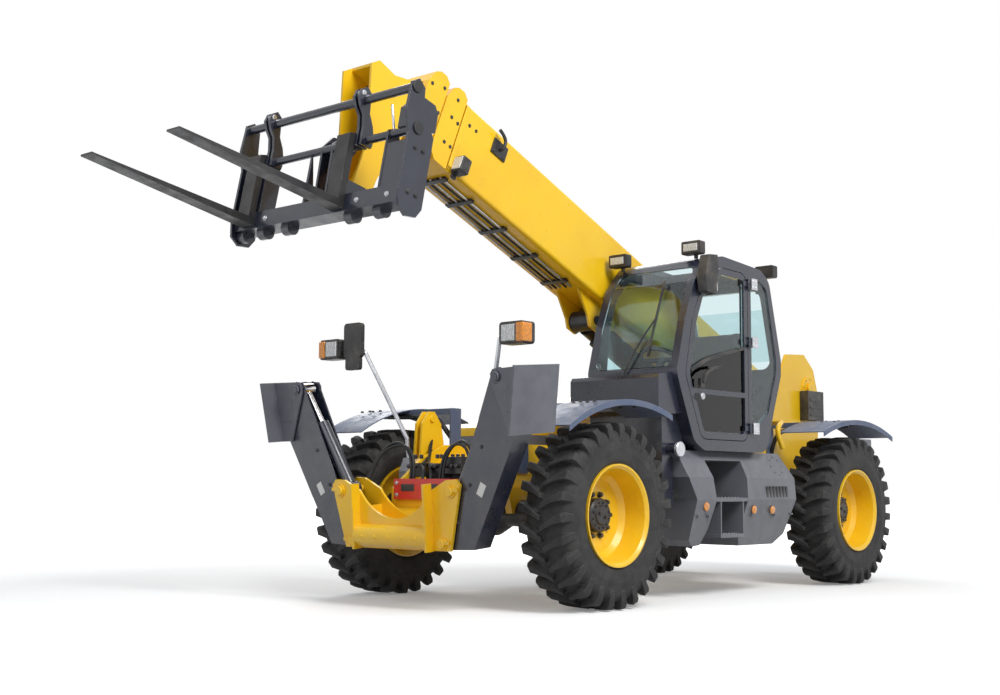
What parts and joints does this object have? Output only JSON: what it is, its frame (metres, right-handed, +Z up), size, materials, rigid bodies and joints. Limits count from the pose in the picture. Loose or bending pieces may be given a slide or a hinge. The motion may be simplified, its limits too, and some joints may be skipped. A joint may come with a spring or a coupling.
{
  "type": "telescopic handler",
  "caption": "Four-wheel telescopic handler with fork carriage, side cab and front stabilisers; its boom lifts, extends and tilts the forks.",
  "frame": {"origin": "on the ground under the middle of the overall box", "axes": "+X forwards along the machine, +Y to its left, +Z up"},
  "size_m": [7.9028, 2.51, 3.7774],
  "materials": {
    "yellow_paint": "gloss enamel",
    "tyre_rubber": "matte rubber",
    "black_paint": "satin paint",
    "grey_paint": "satin paint",
    "shoe_grey_paint": "satin paint",
    "navy_paint": "gloss enamel",
    "fork_steel": "worn black paint",
    "chrome_rod": "hard chrome",
    "fender_plastic": "moulded, glossy",
    "cab_glass": "tinted glass",
    "seat_cloth": "woven cloth",
    "cab_plastic": "grained",
    "engine_iron": "painted casting",
    "bare_steel": "plated tube",
    "lamp_plastic": "moulded",
    "red_paint": "gloss enamel"
  },
  "bodies": {
    "chassis": {"chassis": "yellow_paint", "front_frame": "yellow_paint", "counterweight": "grey_paint", "axle_front": "black_paint", "axle_rear": "black_paint", "engine_block": "engine_iron", "engine_pod": "grey_paint", "side_panels": "grey_paint", "fenders": "fender_plastic", "cab_frame": "navy_paint", "cab_glass": "cab_glass", "seat": "seat_cloth", "console": "cab_plastic", "lamp_arms": "bare_steel", "headlamps": "lamp_plastic", "front_mirror": "lamp_plastic", "hose_guard": "red_paint", "cab_cowl": "navy_paint", "work_lamps": "lamp_plastic"},
    "engine_hood": {"engine_hood": "yellow_paint"},
    "cab_door": {"cab_door": "navy_paint", "door_glass": "cab_glass", "cab_mirror": "lamp_plastic"},
    "boom": {"boom_outer": "yellow_paint"},
    "boom_section_2": {"boom_section_2": "yellow_paint"},
    "boom_section_3": {"boom_section_3": "yellow_paint"},
    "boom_inner": {"boom_inner": "yellow_paint"},
    "lift_barrel": {"lift_barrel": "black_paint"},
    "lift_rod": {"lift_rod": "chrome_rod"},
    "tilt_barrel": {"tilt_barrel": "black_paint"},
    "tilt_rod": {"tilt_rod": "chrome_rod"},
    "carriage": {"carriage": "navy_paint", "fork_left": "fork_steel", "fork_right": "fork_steel"},
    "knuckle_front_left": {"knuckle_front_left": "black_paint"},
    "wheel_front_left": {"rim_front_left": "yellow_paint", "tyre_front_left": "tyre_rubber", "hub_front_left": "black_paint"},
    "knuckle_front_right": {"knuckle_front_right": "black_paint"},
    "wheel_front_right": {"rim_front_right": "yellow_paint", "tyre_front_right": "tyre_rubber", "hub_front_right": "black_paint"},
    "knuckle_rear_left": {"knuckle_rear_left": "black_paint"},
    "wheel_rear_left": {"rim_rear_left": "yellow_paint", "tyre_rear_left": "tyre_rubber", "hub_rear_left": "black_paint"},
    "knuckle_rear_right": {"knuckle_rear_right": "black_paint"},
    "wheel_rear_right": {"rim_rear_right": "yellow_paint", "tyre_rear_right": "tyre_rubber", "hub_rear_right": "black_paint"},
    "leg_left": {"stabiliser_leg_left": "navy_paint"},
    "shoe_left": {"stabiliser_shoe_left": "shoe_grey_paint"},
    "leg_barrel_left": {"stabiliser_barrel_left": "navy_paint"},
    "leg_rod_left": {"stabiliser_rod_left": "chrome_rod"},
    "leg_right": {"stabiliser_leg_right": "navy_paint"},
    "shoe_right": {"stabiliser_shoe_right": "shoe_grey_paint"},
    "leg_barrel_right": {"stabiliser_barrel_right": "navy_paint"},
    "leg_rod_right": {"stabiliser_rod_right": "chrome_rod"}
  },
  "joints": [
    {"name": "boom_lift", "type": "hinge", "parent": "chassis", "child": "boom", "pos_m": [-3.31145, 0, 1.78], "axis": [0, -1, 0], "range_deg": [-22, 45]},
    {"name": "boom_extend", "type": "slide", "parent": "boom", "child": "boom_section_2", "axis": [0.9239, 0, 0.3827], "range_m": [0, 3.3]},
    {"name": "boom_extend_3", "type": "slide", "parent": "boom_section_2", "child": "boom_section_3", "axis": [0.9239, 0, 0.3827], "range_m": [0, 3.3]},
    {"name": "boom_extend_4", "type": "slide", "parent": "boom_section_3", "child": "boom_inner", "axis": [0.9239, 0, 0.3827], "range_m": [0, 3.3]},
    {"name": "lift_barrel_hinge", "type": "hinge", "parent": "boom", "child": "lift_barrel", "pos_m": [-0.22869, 0, 2.17694], "axis": [0, -1, 0], "range_deg": [-6, 6]},
    {"name": "lift_rod_slide", "type": "slide", "parent": "lift_barrel", "child": "lift_rod", "axis": [-0.9139, 0, -0.406], "range_m": [-0.45, 0.78]},
    {"name": "carriage_tilt", "type": "hinge", "parent": "boom_inner", "child": "carriage", "pos_m": [2.40855, 0, 2.74], "axis": [0, 1, 0], "range_deg": [-12, 55]},
    {"name": "tilt_barrel_hinge", "type": "hinge", "parent": "boom_inner", "child": "tilt_barrel", "pos_m": [1.88866, 0, 3.48043], "axis": [0, 1, 0], "range_deg": [-12, 12]},
    {"name": "tilt_rod_slide", "type": "slide", "parent": "tilt_barrel", "child": "tilt_rod", "axis": [0.8196, 0, -0.573], "range_m": [-0.12, 0.4]},
    {"name": "leg_left_swing", "type": "hinge", "parent": "chassis", "child": "leg_left", "pos_m": [1.76855, 0.44, 0.46], "axis": [-0.9962, 0, 0.0872], "range_deg": [0, 72]},
    {"name": "shoe_left_swivel", "type": "hinge", "parent": "leg_left", "child": "shoe_left", "pos_m": [1.86355, 0.985, 1.54585], "axis": [0.9962, 0, -0.0872], "range_deg": [-8, 20]},
    {"name": "leg_barrel_left_hinge", "type": "hinge", "parent": "chassis", "child": "leg_barrel_left", "pos_m": [1.79906, 0.54, 0.80867], "axis": [-0.9962, 0, 0.0872], "range_deg": [-2, 92]},
    {"name": "leg_rod_left_slide", "type": "slide", "parent": "leg_barrel_left", "child": "leg_rod_left", "axis": [0.0747, 0.5153, 0.8537], "range_m": [-0.02, 0.42]},
    {"name": "leg_right_swing", "type": "hinge", "parent": "chassis", "child": "leg_right", "pos_m": [1.76855, -0.44, 0.46], "axis": [0.9962, 0, -0.0872], "range_deg": [0, 72]},
    {"name": "shoe_right_swivel", "type": "hinge", "parent": "leg_right", "child": "shoe_right", "pos_m": [1.86355, -0.985, 1.54585], "axis": [-0.9962, 0, 0.0872], "range_deg": [-8, 20]},
    {"name": "leg_barrel_right_hinge", "type": "hinge", "parent": "chassis", "child": "leg_barrel_right", "pos_m": [1.79906, -0.54, 0.80867], "axis": [0.9962, 0, -0.0872], "range_deg": [-2, 92]},
    {"name": "leg_rod_right_slide", "type": "slide", "parent": "leg_barrel_right", "child": "leg_rod_right", "axis": [0.0747, -0.5153, 0.8537], "range_m": [-0.02, 0.42]},
    {"name": "steer_front_left", "type": "hinge", "parent": "chassis", "child": "knuckle_front_left", "pos_m": [0.93855, 0.8, 0.64], "axis": [0, 0, 1], "range_deg": [-30, 30]},
    {"name": "wheel_front_left_spin", "type": "hinge", "parent": "knuckle_front_left", "child": "wheel_front_left", "pos_m": [0.93855, 1.02, 0.64], "axis": [0, 1, 0], "continuous": true},
    {"name": "steer_front_right", "type": "hinge", "parent": "chassis", "child": "knuckle_front_right", "pos_m": [0.93855, -0.8, 0.64], "axis": [0, 0, 1], "range_deg": [-30, 30]},
    {"name": "wheel_front_right_spin", "type": "hinge", "parent": "knuckle_front_right", "child": "wheel_front_right", "pos_m": [0.93855, -1.02, 0.64], "axis": [0, 1, 0], "continuous": true},
    {"name": "steer_rear_left", "type": "hinge", "parent": "chassis", "child": "knuckle_rear_left", "pos_m": [-2.56145, 0.8, 0.64], "axis": [0, 0, 1], "range_deg": [-30, 30]},
    {"name": "wheel_rear_left_spin", "type": "hinge", "parent": "knuckle_rear_left", "child": "wheel_rear_left", "pos_m": [-2.56145, 1.02, 0.64], "axis": [0, 1, 0], "continuous": true},
    {"name": "steer_rear_right", "type": "hinge", "parent": "chassis", "child": "knuckle_rear_right", "pos_m": [-2.56145, -0.8, 0.64], "axis": [0, 0, 1], "range_deg": [-30, 30]},
    {"name": "wheel_rear_right_spin", "type": "hinge", "parent": "knuckle_rear_right", "child": "wheel_rear_right", "pos_m": [-2.56145, -1.02, 0.64], "axis": [0, 1, 0], "continuous": true},
    {"name": "door_hinge", "type": "hinge", "parent": "chassis", "child": "cab_door", "pos_m": [-0.94145, 1.1135, 1.85], "axis": [0, 0, 1], "range_deg": [0, 100]},
    {"name": "hood_hinge", "type": "hinge", "parent": "chassis", "child": "engine_hood", "pos_m": [-1.69145, -0.73015, 1.25], "axis": [0, -1, 0], "range_deg": [0, 50]}
  ],
  "couplings": [
    {"joint": "boom_extend_3", "follows": "boom_extend", "ratio": 1},
    {"joint": "boom_extend_4", "follows": "boom_extend", "ratio": 1},
    {"joint": "lift_barrel_hinge", "follows": "boom_lift", "ratio": -0.04},
    {"joint": "lift_rod_slide", "follows": "boom_lift", "m_per_rad": 0.84},
    {"joint": "tilt_barrel_hinge", "follows": "carriage_tilt", "ratio": -0.133},
    {"joint": "tilt_rod_slide", "follows": "carriage_tilt", "m_per_rad": 0.35},
    {"joint": "leg_barrel_left_hinge", "follows": "leg_left_swing", "ratio": 1.176},
    {"joint": "leg_rod_left_slide", "follows": "leg_left_swing", "m_per_rad": 0.2887},
    {"joint": "leg_barrel_right_hinge", "follows": "leg_right_swing", "ratio": 1.176},
    {"joint": "leg_rod_right_slide", "follows": "leg_right_swing", "m_per_rad": 0.2887},
    {"joint": "steer_front_right", "follows": "steer_front_left", "ratio": 1},
    {"joint": "steer_rear_right", "follows": "steer_rear_left", "ratio": 1}
  ]
}
